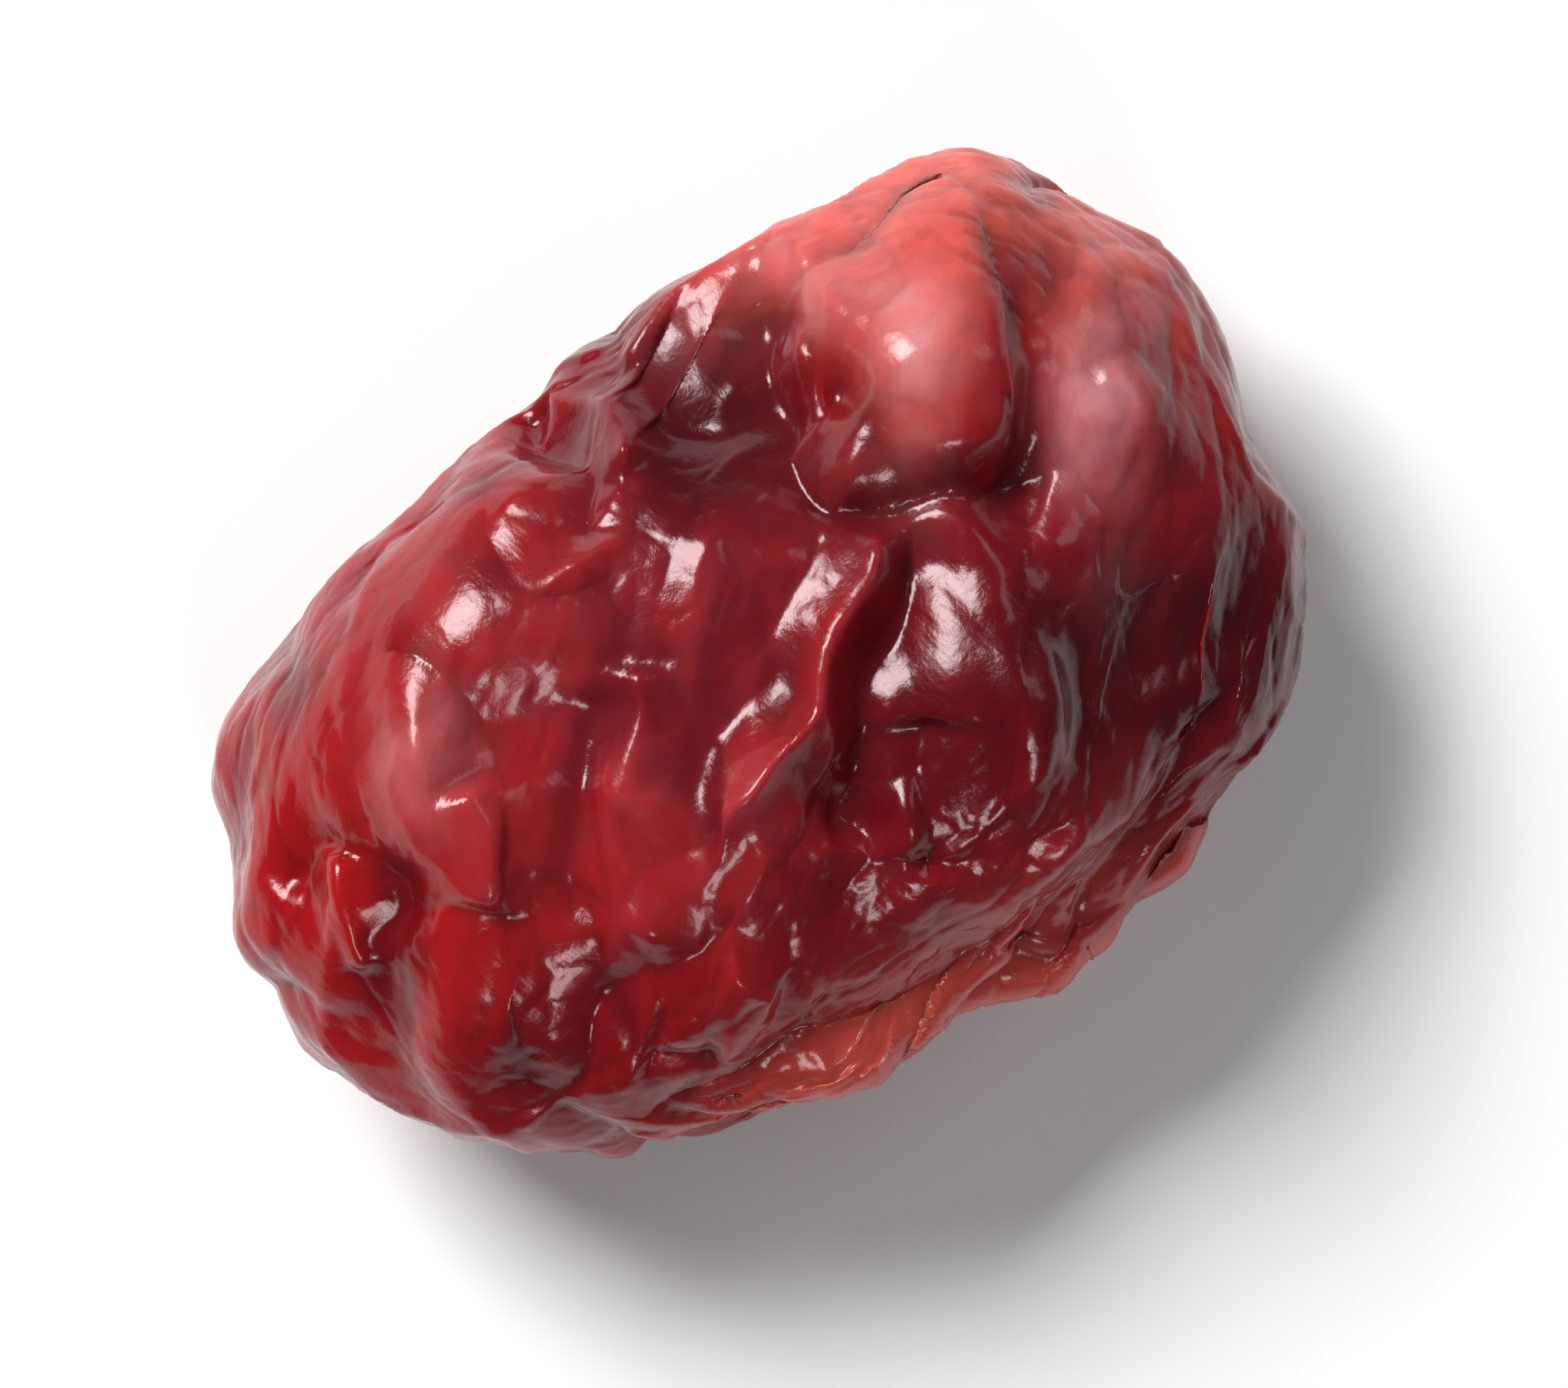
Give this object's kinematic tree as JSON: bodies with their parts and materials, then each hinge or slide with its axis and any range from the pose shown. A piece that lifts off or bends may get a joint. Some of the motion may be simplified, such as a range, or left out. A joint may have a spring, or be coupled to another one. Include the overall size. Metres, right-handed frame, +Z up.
{
  "type": "dried cranberry",
  "caption": "Plump sweetened dried cranberry, wrinkled and dark red, with a pale tip and a folded cut mouth along one side, lying on a small flat spot.",
  "frame": {"origin": "middle of the berry's bounding box seen from above, at the surface that it rests on", "axes": "+X along the berry's length towards its pale tip, +Y away from the cut mouth, +Z up"},
  "size_m": [0.0142, 0.01, 0.0064],
  "materials": {
    "berry_skin": "glossy, finely creased dark red fruit skin, brighter and more see-through where it is thin, dusty pink flesh inside the cut mouth"
  },
  "bodies": {
    "root": {"cranberry": "berry_skin"}
  },
  "joints": []
}
